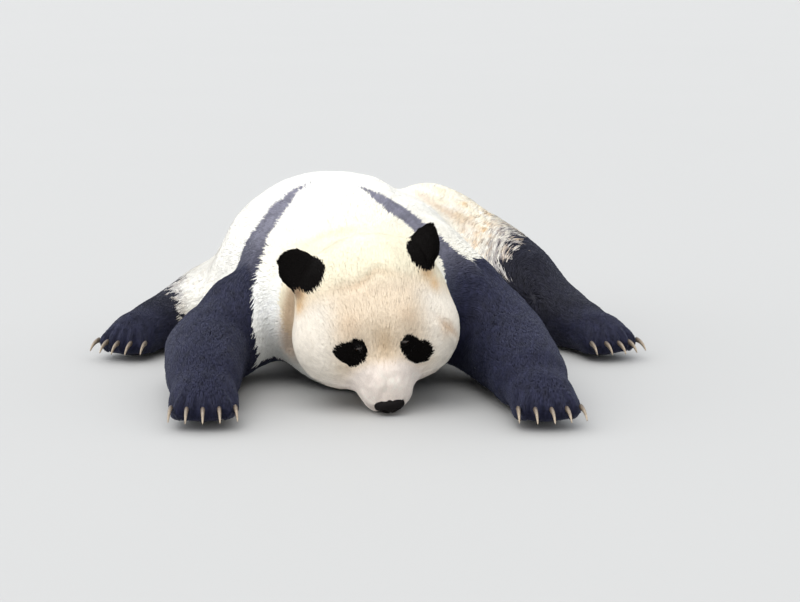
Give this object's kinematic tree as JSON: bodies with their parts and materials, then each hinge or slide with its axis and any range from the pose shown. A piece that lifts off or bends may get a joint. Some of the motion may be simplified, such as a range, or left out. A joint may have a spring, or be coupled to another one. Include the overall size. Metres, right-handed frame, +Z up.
{
  "type": "giant panda",
  "caption": "Life-size still giant panda asleep flat on its belly, head between its outstretched forelegs and hind legs splayed, white coat with black limbs, shoulder band, ears and eye patches",
  "frame": {"origin": "Middle of the footprint of the lying animal, on the floor", "axes": "+Z up; the head points toward -Y; +X is the animal's left side"},
  "size_m": [1.2336, 1.5436, 0.4108],
  "materials": {
    "white_fur": "cream-white fur, warmer and yellower on the rump, the crown and round the ears",
    "black_fur": "black fur with a soft slate-blue sheen along the lie of the hair",
    "eye": "wet dark brown eyeball behind nearly closed lids",
    "nose_skin": "moist black pebbled nose leather",
    "claw_horn": "smooth horn, darker toward the root"
  },
  "bodies": {
    "root": {"head": "white_fur", "neck": "white_fur", "chest": "white_fur", "belly": "white_fur", "rump": "white_fur", "tail": "white_fur", "thigh_right": "white_fur", "thigh_left": "white_fur", "upper_arm_right": "black_fur", "upper_arm_left": "black_fur", "forearm_right": "black_fur", "forearm_left": "black_fur", "paw_front_right": "black_fur", "paw_front_left": "black_fur", "shank_right": "black_fur", "shank_left": "black_fur", "foot_right": "black_fur", "foot_left": "black_fur", "ear_right": "black_fur", "ear_left": "black_fur", "eye_right": "eye", "eye_left": "eye", "nose": "nose_skin", "claw_paw_front_right_1": "claw_horn", "claw_paw_front_right_2": "claw_horn", "claw_paw_front_right_3": "claw_horn", "claw_paw_front_right_4": "claw_horn", "claw_paw_front_right_5": "claw_horn", "claw_paw_front_left_1": "claw_horn", "claw_paw_front_left_2": "claw_horn", "claw_paw_front_left_3": "claw_horn", "claw_paw_front_left_4": "claw_horn", "claw_paw_front_left_5": "claw_horn", "claw_foot_right_1": "claw_horn", "claw_foot_right_2": "claw_horn", "claw_foot_right_3": "claw_horn", "claw_foot_right_4": "claw_horn", "claw_foot_right_5": "claw_horn", "claw_foot_left_1": "claw_horn", "claw_foot_left_2": "claw_horn", "claw_foot_left_3": "claw_horn", "claw_foot_left_4": "claw_horn", "claw_foot_left_5": "claw_horn"}
  },
  "joints": []
}
